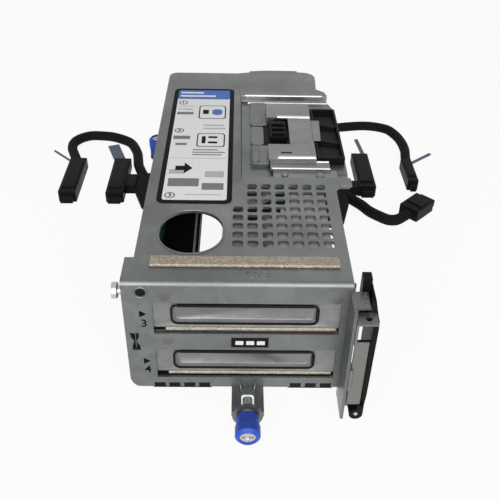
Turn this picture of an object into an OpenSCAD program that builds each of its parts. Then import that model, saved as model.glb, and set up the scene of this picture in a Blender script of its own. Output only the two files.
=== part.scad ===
// Riser cage for two low-profile expansion cards, millimetres.
// Origin: middle of the cage's footprint, on the surface it stands on.
// +X to the right, +Y to the back, +Z up.
// The modules measure along the cage from the front plate's outer face, and in_frame()
// then sets each piece on the origin.

/* [Cage] */
// Width of the front plate
cage_w = 72; // [70:1:80]
// Length from the front face to the back edge
cage_l = 157; // [155:1:170]
// Height of the top plate above the resting surface
cage_h = 54; // [54:1:60]
// Sheet thickness
sheet_t = 1; // [0.8:0.1:1.2]
// Height of the front plate
front_h = 47.5; // [46:0.5:48]
// Step in from the front plate's edge to the left wall
wall_inset = 2.9; // [2:0.1:4]
// Length of the full-width lip behind the front fold
lip_l = 12.5; // [12:0.5:16]
// Outer radius of the folds
fold_r = 1.6; // [1.3:0.1:2]
// Depth of the bottom flange folded back from the front plate
flange_d = 6; // [5:0.5:8]
// Radius of the front plate's lower left corner
corner_r = 5.5; // [4:0.5:7]

/* [Card slots] */
// Distance between the two card slots
slot_pitch = 20.32; // [20.32:0.01:20.4]
// Left end of the slot windows
slot_x0 = -26.7; // [-27:0.1:-26]
// Right end of the slot windows
slot_x1 = 33; // [32:0.5:33.5]
// Drop from the top plate to the first window
slot_drop = 8.35; // [8:0.05:9]
// Height of a slot window
slot_h = 13.2; // [12.5:0.1:13.5]
// Width of a slot filler across the card
filler_w = 18.4; // [18:0.1:18.6]
// Sheet thickness of a slot filler
filler_t = 0.8; // [0.7:0.1:1]
// Length of the filler tab in front of the plate
filler_tab_l = 11; // [10:0.5:12]
// Height of the pressed panel in a filler
panel_h = 10.35; // [9:0.05:10.4]
// Depth of the pressed panel
panel_d = 1.2; // [0.8:0.1:1.5]
// Thickness of the slot gaskets
gasket_t = 1.3; // [1:0.1:1.4]

/* [Top plate] */
// Pitch of the vent holes
vent_p = 5.02; // [4.8:0.02:5.1]
// Width of one vent hole
vent_w = 3.6; // [3:0.1:3.8]
// Front row of vents behind the front face
vent_y = 20.2; // [20:0.2:22]
// Half width of the finger hole
finger_r = 10.6; // [9:0.2:11]
// Straight part of the finger hole
finger_s = 3.2; // [2:0.2:4]
// Depth of the recessed tray
tray_d = 3.2; // [2.5:0.1:4]
// Length of the label
label_l = 95; // [90:1:96]
// Width of the label
label_w = 27; // [24:0.5:27]

/* [Thumbscrews] */
// Knob diameter
knob_d = 8.5; // [8:0.1:9]
// Knob length
knob_l = 8.6; // [8:0.1:10]
// Screw shank diameter
shank_d = 4; // [3:0.1:4.2]
// Drop from the top plate to the front screw
front_screw_drop = 48.8; // [48.6:0.1:49]
// Drop from the top plate to the top of the side knob
side_knob_drop = 23; // [22:0.5:24]
// Distance of the side knob behind the front face
side_knob_y = 134.4; // [133:0.2:136]

/* [Latch] */
// Distance of the latch hinge outside the right flange
hinge_out = 4.2; // [4:0.1:4.6]
// Drop from the top plate to the latch hinge
hinge_drop = 48.5; // [48:0.1:48.8]
// Diameter of the hinge pin
pin_d = 1.6; // [1.4:0.1:2]
// Diameter of the hinge knuckles
knuckle_d = 4.6; // [4.2:0.1:4.8]
// Travel of the card retainer's slider
slide_t = 5; // [3:0.5:5.5]

/* [Riser board] */
// Length of the riser board
board_l = 142; // [138:1:144]
// Thickness of the riser board
board_t = 1.6; // [1.2:0.1:2]
// Gap between the left wall and the board
board_gap = 3.5; // [3:0.1:4]
// Length of a card connector
conn_l = 89; // [85:1:92]
// Width of a card connector
conn_w = 7.6; // [7:0.1:8]
// Height of a card connector off the board
conn_h = 11; // [10:0.1:11.5]

/* [Cables] */
// Width of a sleeved cable
cable_w = 5.6; // [4.6:0.2:6]
// Height of a sleeved cable
cable_t = 4.4; // [4:0.2:4.8]
// Width of a cable plug
plug_w = 8.6; // [8:0.2:9]
// Length of a cable plug
plug_l = 33; // [32:0.5:34]
// Height of a cable plug
plug_h = 6; // [5.5:0.1:7]
// Thickness of a pull tab
tab_t = 0.8; // [0.6:0.1:1]

/* [Hidden] */
$fn = 48;
eps = 0.01;        // overlap that keeps a cut clean
gap = 0.3;         // clearance between pieces that do not touch
fit = 0.05;        // radial running clearance
x_left = -cage_w/2;
x_right = cage_w/2;
wall_x = x_left + wall_inset;             // outer face of the left wall
front_z = cage_h - front_h;               // lower edge of the front plate
top_in = cage_h - sheet_t;                // underside of the top plate

// Tray, pressed into the right rear of the top plate
tray_x0 = 1;
tray_x1 = x_right + 6.4;
tray_y0 = 62;
tray_y1 = 133;
tray_z = cage_h - tray_d;                 // upper face of the tray floor

// Finger hole and vents
finger_x = -15.65;
finger_y = 27;
vent_cols = 7;
vent_rows = 8;
first_col_rows = 5;
vent_r = 1;

// Front tab that carries the front thumbscrew
tab_x = 3.9;
tab_w = 10.9;
tab_l = 10;
front_screw_z = cage_h - front_screw_drop;
lobe_r = front_screw_z;                   // the tab's lobe reaches the resting surface
collar_r = 2.6;
collar_head_r = 3.2;
collar_head_t = 0.6;
collar_l = sheet_t + 0.8;                 // collar's barrel behind its head
shank_reach = 6;                          // screw length behind the lobe
driver_r = 2.65;                          // steel driver end in the knob
driver_t = 0.5;                           // depth of the driver end below the knob's end
driver_h = 1;
recess_l = 4;                             // cross recess
recess_w = 0.7;
recess_d = 0.7;
knob_chamfer = 1;
waist_in = 0.3;                           // waist of the knob, next to its collar
waist_l = 3.6;
slot_len = 7.2;                           // slot in the tab above the shank
slot_w = 4.3;
knob_gap = 0.1;                           // knob clear of its collar
neck_r = shank_d/2 - 0.35;                // neck that keeps the screw captive in its collar
strip_y = cage_l + 3.6;                   // outer face of the touch strip
mid_y = (strip_y - tab_l - sheet_t - collar_head_t - knob_gap - knob_l)/2;

boot_h = 5;                               // height of the flat bundles on the floor

// Side thumbscrew on a tab of the left wall
side_x = wall_x - 5.2;
side_tab_z = cage_h - side_knob_drop - knob_l - collar_head_t - knob_gap;
side_tab_y0 = 108;
side_tab_y1 = 141;
side_tab_out = 7.5;
side_tip_z = boot_h + 3.7;                // lower end of the side screw
side_lobe_r = 4.1;
side_shank_reach = side_tab_z - sheet_t - side_tip_z;

// Guide screw in the lip's lug
guide_y = 4;
guide_z = cage_h - 6.6;
guide_neck_r = 1.4;
guide_neck_l = 1.6;
guide_head_r = 2.65;
guide_head_t = 1.8;

// Steel strip and web on the latch lever
web_y = 8.9;                              // front face of the web, ahead of the front plate
strip_in = 1.3;
strip_up = 4.6;
strip_drop = 15.4;
strip_t = 0.85;

// Right flange with its two ears, where the card brackets' tabs lie
jaw_l = 10.5;
jaw_top = cage_h - 2.7;
jaw_bottom = cage_h - 50.4;
ear_t = 0.8;
ear1_w = 4.3;
ear1_l = 8;
ear2_w = 6.2;
ear2_y0 = -12.6;
ear2_y1 = -7.2;
ear2_z = cage_h - 5;
ear2_hole_r = 1;
hinge_x = x_right + hinge_out;
hinge_z = cage_h - hinge_drop;
ear_r = 2.4;
mid_ear_y = -4;
rear_ear_t = sheet_t;

// Rear legs
leg_back = cage_l - 3;                    // rear face of the legs and of the left wall
leg_l_w = 14;
leg_r_w = 8;

// Cable window in the left wall
cable_win_y0 = 117;
cable_win_y1 = 148;
cable_win_h = 9;

// Fillers
filler_y = sheet_t + 0.25;                // front face of a filler, clear of the fold
filler_z1 = top_in - 0.2;                 // upper edge of the upper filler
panel_x0 = -21.3;
panel_x1 = 26.4;
panel_drop = slot_drop;                   // the panel starts level with the window
panel_draft = 1.3;
filler_tab_in = 4;                        // tab set in from the filler's edges

// Shield sheet under the vents, its left side stepped down
shield_t = 0.8;
shield_y0 = 16.5;
shield_y1 = 54.5;
shield_x0 = -4;
shield_step = 2.5;                        // drop of the left side
shield_bend = 12;                         // where the step begins
shield_x1 = 31.3;

// Riser board and what it carries
board_x = wall_x + sheet_t + board_gap;   // left face of the board
board_y0 = 6;
board_z0 = 10;
board_z1 = top_in - 3;
conn_y0 = board_y0 + 6;
conn_drop = 18.8;
conn_x = board_x + board_t;
standoff_r = 2.5;
screw_r = 1.5;
screw_head_r = 2.6;
screw_head_t = 1.6;
hole_in = 3;                              // holes in from the board's edges
hole_up = 17;                             // lower rear hole, above the cable header's foot
board_holes = [[board_y0 + hole_in, board_z0 + hole_in], [board_y0 + hole_in, board_z1 - hole_in],
    [board_y0 + board_l - 5, board_z0 + hole_up], [board_y0 + board_l - 5, board_z1 - hole_in]];
header_y1 = board_y0 + board_l - 11;
header_y0 = header_y1 - 25;
header_w = 8;
header_top = board_z0 + 22;
boot_x = conn_x + header_w;               // where the bundles leave the header
left_boot_x = -51;
left_boot_y1 = 146;
right_boot_x = 54;

// Plugs: rear middle of each on the resting surface, [x, y]
left_far_at = [-83.2, 158];
left_near_at = [-60.2, 158];
right_far_at = [88.4, 161];
right_near_at = [64.4, 166];
right_low_at = [81.4, 114.2];
nose_l = 3;                               // mating end, narrower than the plug
nose_in = 1.2;
ridge_in = 4;                             // raised ridge along the plug's back
ridge_t = 0.8;
tab_z = plug_h - 2;

// Retainer frame on the tray
frame_t = 1;
frame_z = cage_h + 0.4;                   // upper face of the raised plates
frame_x0 = 11.8;
frame_x1 = 30.6;
rail_y0 = 69;
rail_y1 = 76;
rivet_r = 1.4;
rivets = [[17.8, 68.3 - 1.2], [31.3, 68.3 - 1.2]];
win_x1 = 20.8;
win_y1 = 110.5;
slider_l = 15;
slider_back = 1.5;                        // gap behind the slider at rest
slider_front = 2;                         // gap left at the end of its travel
win_y0 = win_y1 - slider_back - slider_l - slide_t - slider_front;
frame_y1 = 124;
block_x0 = 31;
block_y0 = 77;
block_y1 = 120;
block_wall = 1.2;

// Cable routes over the resting surface, [x, y], chosen by hand
left_route = [[-48, 145], [-50, 150], [-52, 156], [-53, 162], [-54, 168], [-56, 174],
    [-59, 180], [-64, 184], [-70, 187], [-76, 188], [-82, 188], [-87, 185], [-90, 180],
    [-90, 174], [-88, 168], [-86, 163], [-84, 157]];
rear_route = [[20, 136], [20, 143], [21, 150], [22, 157], [24, 164], [27, 171],
    [31, 178], [36, 185], [42, 191], [49, 197], [56, 201], [64, 203], [72, 204],
    [79, 203], [85, 200], [88, 195], [90, 189], [91, 182], [91, 175], [90, 168],
    [89, 160]];
right_route = [[53, 130], [56, 126], [60, 121], [63, 116], [67, 112], [71, 109],
    [75, 109], [79, 112], [82, 115]];

function arc(cx, cy, r, a0, a1, n = 6) =
    [for (i = [0:n]) [cx + r*cos(a0 + (a1 - a0)*i/n), cy + r*sin(a0 + (a1 - a0)*i/n)]];
function rrect(x0, y0, x1, y1, r, n = 4) = concat(
    arc(x1 - r, y0 + r, r, -90, 0, n), arc(x1 - r, y1 - r, r, 0, 90, n),
    arc(x0 + r, y1 - r, r, 90, 180, n), arc(x0 + r, y0 + r, r, 180, 270, n));

// Sets a piece on the origin
module in_frame() { translate([0, -mid_y, 0]) children(); }

// Box between two corners
module block(a, b) { translate(a) cube(b - a); }

// Upright prism of a plan outline
module plan(pts, z0, z1) { translate([0, 0, z0]) linear_extrude(z1 - z0) polygon(pts); }

// Prism of an x-z outline from y0 to y1
module face(pts, y0, y1) {
    translate([0, y1, 0]) rotate([90, 0, 0]) linear_extrude(y1 - y0) polygon(pts);
}

// Prism of a y-z outline from x0 to x1
module side(pts, x0, x1) {
    translate([x0, 0, 0]) rotate([90, 0, 90]) linear_extrude(x1 - x0) polygon(pts);
}

// Cylinder along Y from y0 to y1
module rod_y(x, z, y0, y1, r) { translate([x, y1, z]) rotate([90, 0, 0]) cylinder(h = y1 - y0, r = r); }

// Cylinder along X from x0 to x1
module rod_x(y, z, x0, x1, r) { translate([x0, y, z]) rotate([0, 90, 0]) cylinder(h = x1 - x0, r = r); }

// ---- cage -----------------------------------------------------------------

// Front plate with the top lip and the bottom flange, seen from the side
function front_profile() = concat(
    [[lip_l, cage_h]], arc(fold_r, cage_h - fold_r, fold_r, 90, 180),
    arc(fold_r, front_z + fold_r, fold_r, 180, 270),
    [[flange_d, front_z], [flange_d, front_z + sheet_t]],
    arc(fold_r, front_z + fold_r, fold_r - sheet_t, 270, 180),
    arc(fold_r, cage_h - fold_r, fold_r - sheet_t, 180, 90), [[lip_l, top_in]]);

module slot_windows() {
    for (i = [0, 1])
        block([slot_x0, -1, cage_h - slot_drop - slot_h - i*slot_pitch],
            [slot_x1, sheet_t + fold_r, cage_h - slot_drop - i*slot_pitch]);
}

// Row of small vents that wrap round the lower fold
module lower_vents() {
    for (x = [-28, -23, -17.9, -12.8, 18.4, 23.6, 28.8])
        side(rrect(-1, front_z - 1, 4, front_z + 3, 0.8), x, x + 3.8);
}

module front_plate() {
    difference() {
        side(front_profile(), x_left, x_right);
        slot_windows();
        lower_vents();
        // lower left corner
        difference() {
            block([x_left - 1, -1, front_z - 1],
                [x_left + corner_r, flange_d + 1, front_z + corner_r]);
            rod_y(x_left + corner_r, front_z + corner_r, -2, flange_d + 2, corner_r);
        }
        // threaded hole and key slot beside the slots
        rod_y(-29.9, cage_h - 4.1, -1, sheet_t + 1, 1.6);
        face([[-34.6, cage_h - 21.4], [-31.6, cage_h - 21.4], [-31.8, cage_h - 23.4],
            [-32.6, cage_h - 25], [-31.6, cage_h - 27], [-31.4, cage_h - 29],
            [-34.2, cage_h - 29], [-34, cage_h - 27], [-33.4, cage_h - 25],
            [-34.2, cage_h - 23.4]], -1, sheet_t + 1);
    }
}

// Outline of the top plate behind the lip
function top_outline() = concat(
    [[wall_x, lip_l - 2], [x_right, lip_l - 2], [x_right, 54], [x_right + 2, 57],
     [x_right + 6.2, 57], [x_right + 6.2, tray_y0 + 6.6], [x_right, tray_y0 + 6.6],
     [x_right, tray_y0 + 8], [tray_x1, tray_y0 + 8],
     [tray_x1, tray_y1 - 8], [x_right + 4, tray_y1], [x_right + 3, tray_y1 + 4],
     [x_right - 0.5, cage_l - 17]],
    arc(x_right - 6, cage_l - 4, 6, 0, 90),
    [[27, cage_l + 2.4], [13, cage_l + 2.4], [6, cage_l + 1.6], [-1, cage_l]],
    arc(wall_x + 4, cage_l - 4, 4, 90, 180));

function tray_outline(inset) = [[tray_x0 + inset, tray_y0 + inset],
    [x_right + 8, tray_y0 + inset], [x_right + 8, tray_y1 - inset],
    [tray_x0 + inset, tray_y1 - inset]];

module top_holes() {
    for (c = [0 : vent_cols - 1], r = [0 : vent_rows - 1])
        if (c > 0 || r < first_col_rows)
            plan(rrect(c*vent_p - vent_w/2, vent_y + r*vent_p - vent_w/2,
                c*vent_p + vent_w/2, vent_y + r*vent_p + vent_w/2, vent_r, 3),
                top_in - 1, cage_h + 1);
    plan(concat(arc(finger_x, finger_y + finger_s/2, finger_r, 0, 180, 16),
        arc(finger_x, finger_y - finger_s/2, finger_r, 180, 360, 16)), top_in - 1, cage_h + 1);
}

// Top plate: the sheet at full height, less the tray, and the tray set down into it
module top_plate() {
    difference() {
        plan(top_outline(), top_in, cage_h);
        plan(tray_outline(0), top_in - 1, cage_h + 1);
        top_holes();
    }
    block([x_right - eps, 57, top_in], [x_right + 6.2, tray_y0, cage_h]);
    intersection() {
        plan(top_outline(), tray_z - sheet_t, cage_h);
        difference() {
            plan(tray_outline(-sheet_t), tray_z - sheet_t, cage_h);
            plan(tray_outline(0), tray_z, cage_h + 1);
        }
    }
}

// Lanced strips on the left of the tray
module tray_hooks() {
    for (y = [74, 92.5, 110])
        block([5, y, tray_z - eps], [10.4, y + 12.5, tray_z + 1]);
}

// Lug folded down from the lip's left edge, for the guide screw
module lip_lug() { block([x_left, fold_r, top_in - 8], [x_left + sheet_t, lip_l - 1, top_in + eps]); }

module left_wall() {
    difference() {
        block([wall_x, lip_l, 0], [wall_x + sheet_t, leg_back, top_in + eps]);
        block([wall_x - 1, cable_win_y0, -1], [wall_x + 2, cable_win_y1, cable_win_h]);
    }
}

module rear_legs() {
    block([wall_x, leg_back - sheet_t, 0], [wall_x + leg_l_w, leg_back, top_in + eps]);
    block([x_right - 1 - leg_r_w, leg_back - sheet_t, 0], [x_right - 1, leg_back, top_in + eps]);
}

// Flange the brackets' tabs lie against, its ears and the hinge ears
module right_jaw() {
    block([x_right - sheet_t, -jaw_l, jaw_bottom], [x_right, sheet_t, jaw_top]);
    block([x_right - eps, -ear1_l, jaw_top - ear_t], [x_right + ear1_w, -gap, jaw_top]);
    difference() {
        block([x_right - eps, ear2_y0, ear2_z - ear_t], [x_right + ear2_w, ear2_y1, ear2_z]);
        translate([x_right + 3.6, -10.1, ear2_z - 2]) cylinder(h = 3, r = ear2_hole_r);
    }
    for (y = [[mid_ear_y - 0.4, mid_ear_y + 0.4], [0, rear_ear_t]])
        difference() {
            union() {
                block([x_right - eps, y[0], hinge_z - ear_r], [hinge_x, y[1], hinge_z + ear_r]);
                rod_y(hinge_x, hinge_z, y[0], y[1], ear_r);
            }
            rod_y(hinge_x, hinge_z, y[0] - 1, y[1] + 1, pin_d/2);
        }
    // the rear ear hangs from the front plate's corner
    block([x_right - sheet_t, 0, hinge_z - ear_r], [x_right, sheet_t, front_z + 2]);
}

// Forward tab with the lobe that holds the front thumbscrew
module front_tab() {
    difference() {
        union() {
            block([tab_x - tab_w/2, -tab_l, front_z], [tab_x + tab_w/2, fold_r, front_z + sheet_t]);
            block([tab_x - tab_w/2, -tab_l - sheet_t, front_screw_z],
                [tab_x + tab_w/2, -tab_l, front_z + sheet_t]);
            rod_y(tab_x, front_screw_z, -tab_l - sheet_t, -tab_l, lobe_r);
        }
        rod_y(tab_x, front_screw_z, -tab_l - sheet_t - 1, -tab_l + 1, collar_r);
        plan(rrect(tab_x - slot_w/2, -tab_l, tab_x + slot_w/2, -tab_l + slot_len, 1.2),
            front_z - 1, front_z + sheet_t + 1);
    }
}

// Tab on the left wall that holds the side thumbscrew
module side_tab() {
    difference() {
        union() {
            block([wall_x - side_tab_out, side_tab_y0, side_tab_z - sheet_t],
                [wall_x + eps, side_tab_y1, side_tab_z]);
            translate([side_x, side_knob_y, side_tab_z - sheet_t]) cylinder(h = sheet_t, r = side_lobe_r);
        }
        translate([side_x, side_knob_y, side_tab_z - 2]) cylinder(h = 4, r = collar_r);
    }
}

module cage_shell() {
    in_frame() color("darkgray") union() {
        front_plate();
        top_plate();
        tray_hooks();
        lip_lug();
        left_wall();
        rear_legs();
        right_jaw();
        front_tab();
        side_tab();
    }
}

// ---- slots ----------------------------------------------------------------

// One filler: flat sheet with a pressed panel and a tab bent forward over the flange
module slot_filler(i) {
    z1 = filler_z1 - i*slot_pitch;
    z0 = z1 - filler_w;
    pz1 = cage_h - panel_drop - i*slot_pitch - eps;
    pz0 = pz1 - panel_h;
    tab_in = x_right + 0.05;
    in_frame() color("silver") difference() {
        union() {
            block([slot_x0 - 5, filler_y, z0], [tab_in + filler_t, filler_y + filler_t, z1]);
            block([tab_in, -filler_tab_l, z0 + filler_tab_in],
                [tab_in + filler_t, filler_y + eps, z1 - filler_tab_in - 1]);
            hull() {
                face(rrect(panel_x0, pz0, panel_x1, pz1, 2), filler_y + filler_t - eps, filler_y + filler_t);
                face(rrect(panel_x0 + panel_draft, pz0 + panel_draft, panel_x1 - panel_draft,
                    pz1 - panel_draft, 1.4), filler_y + panel_d, filler_y + panel_d + filler_t);
            }
        }
        hull() {
            face(rrect(panel_x0 + 0.2, pz0 + 0.2, panel_x1 - 0.2, pz1 - 0.2, 1.8),
                filler_y - 0.2, filler_y);
            face(rrect(panel_x0 + panel_draft + 0.3, pz0 + panel_draft + 0.3,
                panel_x1 - panel_draft - 0.3, pz1 - panel_draft - 0.3, 1.2),
                filler_y + panel_d - eps, filler_y + panel_d);
        }
    }
}

// Conductive foam strip below a filler
module slot_gasket(i) {
    z1 = filler_z1 - filler_w - i*slot_pitch - 0.15;
    in_frame() color("tan") block([slot_x0 + 3.6, sheet_t + gap/6, z1 - gasket_t], [slot_x1 - 0.6, 4.4, z1]);
}

module top_gasket() {
    in_frame() color("tan") block([-27.7, 7.5, cage_h], [32.5, 12.3, cage_h + 1.2]);
}

module instruction_label() {
    in_frame() color("white") plan(concat([[-29.2, 43.7]], [[-29.2 + label_w, 43.7]],
        [[-29.2 + label_w, 43.7 + label_l - 3], [-29.2 + label_w - 3, 43.7 + label_l]],
        [[-29.2, 43.7 + label_l]]), cage_h, cage_h + 0.2);
}

// Small plate riding on the divider between the two slots
module slot_badge() {
    in_frame() color("black") block([-1.8, -0.2, cage_h - 27.3], [10.4, 0, cage_h - 23.2]);
}

// Touch point clipped over the bowed rear edge
module touch_strip() {
    in_frame() color("royalblue") plan([[5, cage_l + 1.5], [13, strip_y - 1.2], [27, strip_y - 1.2],
        [28, strip_y - 0.4], [26, strip_y], [13, strip_y], [5, strip_y - 1]],
        cage_h - 4, cage_h + 0.2);
}

// Sheet spot-welded under the vents: flat on the right, stepped down on the left
module vent_shield() {
    z = top_in;
    in_frame() color("silver") difference() {
        face([[shield_x1, z], [shield_bend, z], [shield_bend - 2, z - 0.4], [shield_bend - 4, z - 1.6],
            [shield_bend - 5, z - shield_step], [shield_x0, z - shield_step],
            [shield_x0, z - shield_step - shield_t], [shield_bend - 4.6, z - shield_step - shield_t],
            [shield_bend - 3.4, z - 2.4], [shield_bend - 1.6, z - 1.2],
            [shield_bend + 0.2, z - shield_t], [shield_x1, z - shield_t]], shield_y0, shield_y1);
        block([2.6, 38.3, z - 5], [15, 48.5, z + 1]);
        block([shield_bend, 43, z - 5], [17, shield_y1 + 1, z + 1]);
        block([shield_bend, 51.8, z - 5], [shield_x1 + 1, shield_y1 + 1, z + 1]);
    }
}

// ---- riser board ----------------------------------------------------------

module riser_board() {
    in_frame() color("darkgreen") difference() {
        block([board_x, board_y0, board_z0], [board_x + board_t, board_y0 + board_l, board_z1]);
        for (h = board_holes) rod_x(h[0], h[1], board_x - 1, board_x + board_t + 1, screw_r);
    }
}

// Sixteen-lane card connector: a long block with the card slot along its outer face
module card_connector(i) {
    zc = cage_h - conn_drop - i*slot_pitch;
    in_frame() color("black") difference() {
        block([conn_x, conn_y0, zc - conn_w/2], [conn_x + conn_h, conn_y0 + conn_l, zc + conn_w/2]);
        block([conn_x + conn_h - 8, conn_y0 + 2, zc - 0.9],
            [conn_x + conn_h + 1, conn_y0 + 13.5, zc + 0.9]);
        block([conn_x + conn_h - 8, conn_y0 + 15.5, zc - 0.9],
            [conn_x + conn_h + 1, conn_y0 + conn_l - 2, zc + 0.9]);
    }
}

module board_standoffs() {
    in_frame() color("silver") for (h = board_holes) difference() {
        rod_x(h[0], h[1], wall_x + sheet_t, board_x, standoff_r);
        rod_x(h[0], h[1], wall_x, board_x + 1, screw_r);
    }
}

module board_screws() {
    in_frame() color("silver") for (h = board_holes) {
        rod_x(h[0], h[1], wall_x + sheet_t + 0.4, board_x + board_t + eps, screw_r - fit);
        rod_x(h[0], h[1], board_x + board_t, board_x + board_t + screw_head_t, screw_head_r);
    }
}

// Socket on the board's rear end where the cable bundles start
module cable_header() {
    in_frame() color("black") block([conn_x, header_y0, boot_h], [conn_x + header_w, header_y1, header_top]);
}

// ---- thumbscrews ----------------------------------------------------------

// Flanged collar pressed into a sheet tab, axis along +Z, sheet from z = -sheet_t to 0
module collar() {
    color("silver") difference() {
        union() {
            translate([0, 0, -collar_l]) cylinder(h = collar_l + eps, r = collar_r);
            cylinder(h = collar_head_t, r = collar_head_r);
        }
        translate([0, 0, -collar_l - 1]) cylinder(h = collar_l + collar_head_t + 2, r = neck_r + fit);
    }
}

// Steel screw: threaded end, thin neck through the collar, driver end flush in the knob
module screw(reach) {
    z_top = collar_head_t + knob_gap + knob_l - driver_t;
    color("silver") difference() {
        union() {
            translate([0, 0, -reach]) cylinder(h = reach - collar_l - gap, r = shank_d/2);
            translate([0, 0, -collar_l - gap - eps]) cylinder(h = z_top + collar_l + gap, r = neck_r);
            translate([0, 0, z_top - driver_h]) cylinder(h = driver_h, r = driver_r);
        }
        for (a = [0, 90]) rotate([0, 0, a])
            block([-recess_l/2, -recess_w/2, z_top - recess_d], [recess_l/2, recess_w/2, z_top + 1]);
    }
}

// Blue moulded knob: waist, collar and chamfered end
module knob() {
    r = knob_d/2;
    z0 = collar_head_t + knob_gap;
    color("royalblue") difference() {
        rotate_extrude() polygon([[neck_r, z0], [r - 0.5, z0], [r - waist_in, z0 + 0.4],
            [r - waist_in, z0 + waist_l], [r, z0 + waist_l + 0.4], [r, z0 + knob_l - knob_chamfer],
            [r - knob_chamfer, z0 + knob_l], [neck_r, z0 + knob_l]]);
        translate([0, 0, z0 + knob_l - driver_t - driver_h]) cylinder(h = driver_t + driver_h + 1, r = driver_r);
    }
}

module at_front() { in_frame() translate([tab_x, -tab_l - sheet_t, front_screw_z]) rotate([90, 0, 0]) children(); }
module at_side() { in_frame() translate([side_x, side_knob_y, side_tab_z]) children(); }
module front_collar() { at_front() collar(); }
module front_screw() { at_front() screw(sheet_t + shank_reach); }
module front_knob() { at_front() knob(); }
module side_collar() { at_side() collar(); }
module side_screw() { at_side() screw(sheet_t + side_shank_reach); }
module side_knob() { at_side() knob(); }

// Guide screw standing out of the lip's left edge
module shoulder_screw() {
    in_frame() color("silver") union() {
        rod_x(guide_y, guide_z, x_left - guide_neck_l, x_left, guide_neck_r);
        rod_x(guide_y, guide_z, x_left - guide_neck_l - guide_head_t, x_left - guide_neck_l + eps,
            guide_head_r);
    }
}

// ---- slot latch -----------------------------------------------------------

// Black moulded lever: outer skin, hinge knuckles and the grip at its upper end
module latch_lever() {
    skin_x = hinge_x + 1.3;
    back_x = hinge_x + 3.2;
    in_frame() color([0.1, 0.1, 0.1]) difference() {
        union() {
            face([[skin_x, hinge_z], [hinge_x + 2.3, hinge_z], [back_x - 0.3, hinge_z + 8],
                [back_x, cage_h - 10], [back_x - 0.2, cage_h - 7], [skin_x + 0.3, cage_h - 0.5],
                [skin_x - 0.2, cage_h - 0.5], [skin_x, cage_h - 9]], -9, 4.4);
            face([[hinge_x - 1.5, cage_h - 14], [skin_x + 0.1, cage_h - 14], [skin_x + 0.1, cage_h + 1.4],
                [hinge_x - 1.5, cage_h + 1.4]], 0.9, 4.4);
            // web behind the steel strip
            block([hinge_x - 2.6, -web_y, hinge_z + 3.2], [skin_x + 0.1, -7.7, cage_h - 16]);
            rod_y(hinge_x, hinge_z, -10.2, 4.4, knuckle_d/2);
            block([hinge_x, -10.2, hinge_z], [hinge_x + knuckle_d/2, 4.4, hinge_z + 4.4]);
        }
        block([skin_x - 1, -10, ear2_z - ear_t - 1.2], [back_x + 1, ear2_y1 + gap, cage_h + 2]);
        rod_y(hinge_x, hinge_z, -11, 5, pin_d/2 + fit);
        for (y = [[mid_ear_y - 0.4, mid_ear_y + 0.4], [0, rear_ear_t]])
            rod_y(hinge_x, hinge_z, y[0] - gap, y[1] + gap, ear_r + 0.5);
    }
}

// Steel strip clipped on the lever's front edge
module latch_strip() {
    in_frame() color("silver") face(rrect(x_right + strip_in, hinge_z + strip_up, hinge_x + 0.7, cage_h - strip_drop, 0.6),
        -web_y - strip_t - fit, -web_y - fit);
}

module latch_pin() { in_frame() color("silver") rod_y(hinge_x, hinge_z, -10.1, 4.3, pin_d/2); }

// ---- card-end retainer ----------------------------------------------------

// Raised, riveted sheet: flange on the tray, stepped rail, two plates and a bridge
module retainer_frame() {
    in_frame() color("darkgray") difference() {
        union() {
            // flange on the tray floor
            block([13.4, tray_y0 + 2.6, tray_z], [x_right + 2, rail_y0 + 2, tray_z + frame_t]);
            // stepped rail
            block([13.4, rail_y0 + 1, tray_z], [35.6, rail_y0 + 1 + frame_t, frame_z - 1.6]);
            block([12.4, rail_y0 + 1, frame_z - 1.6 - frame_t], [35.6, rail_y1, frame_z - 1.6]);
            block([12.4, rail_y1 - frame_t, tray_z], [frame_x1, rail_y1, frame_z]);
            // lower plate, bridge, upper plate
            block([frame_x0, rail_y1 - frame_t, frame_z - frame_t], [frame_x1, win_y0, frame_z]);
            block([win_x1, win_y0 - 1, frame_z - frame_t], [frame_x1, win_y1 + 1, frame_z]);
            block([frame_x0, win_y1, frame_z - frame_t], [frame_x1, frame_y1, frame_z]);
            block([frame_x0, win_y1 - frame_t + 1, tray_z], [frame_x0 + 3, win_y1 + 1, frame_z]);
            block([frame_x0, frame_y1 - frame_t, tray_z], [frame_x1, frame_y1, frame_z]);
        }
        block([16.8, 79.5, frame_z - 2], [21.1, 80.8, frame_z + 1]);
        for (p = rivets) translate([p[0], p[1], tray_z - 1]) cylinder(h = 4, r = rivet_r);
    }
}

module retainer_rivets() {
    in_frame() color("silver") for (p = rivets) translate([p[0], p[1], tray_z]) {
        cylinder(h = frame_t + eps, r = rivet_r);
        translate([0, 0, frame_t]) cylinder(h = 0.7, r = rivet_r + 0.5);
    }
}

// Black moulded block at the card's far corner, ribbed in its upper face
module retainer_block() {
    x1 = tray_x1 - 0.4;
    in_frame() color([0.1, 0.1, 0.1]) difference() {
        block([block_x0, block_y0, tray_z], [x1, block_y1, cage_h]);
        difference() {
            block([block_x0 + block_wall, block_y0 + block_wall, tray_z + 1.2],
                [x1 - block_wall, block_y1 - block_wall, cage_h + 1]);
            for (y = [92, 106]) translate([(block_x0 + x1)/2, y, tray_z])
                rotate([0, 0, -14]) block([-9, -1.2, 0], [9, 1.2, cage_h - tray_z - 0.6]);
        }
    }
}

// Ribbed thumb pad that slides in the frame's window
module retainer_slider() {
    y1 = win_y1 - slider_back;
    y0 = y1 - slider_l;
    in_frame() color([0.1, 0.1, 0.1]) union() {
        block([frame_x0 + 3.6, y0, tray_z + 0.05], [win_x1 - gap - 0.5, y1, frame_z - 0.6]);
        for (y = [y0 + 2, y0 + 6, y0 + 10])
            block([frame_x0 + 4.4, y, frame_z - 0.7], [win_x1 - 1.8, y + 1.4, frame_z + 0.5]);
    }
}

// ---- cables ---------------------------------------------------------------

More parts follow.
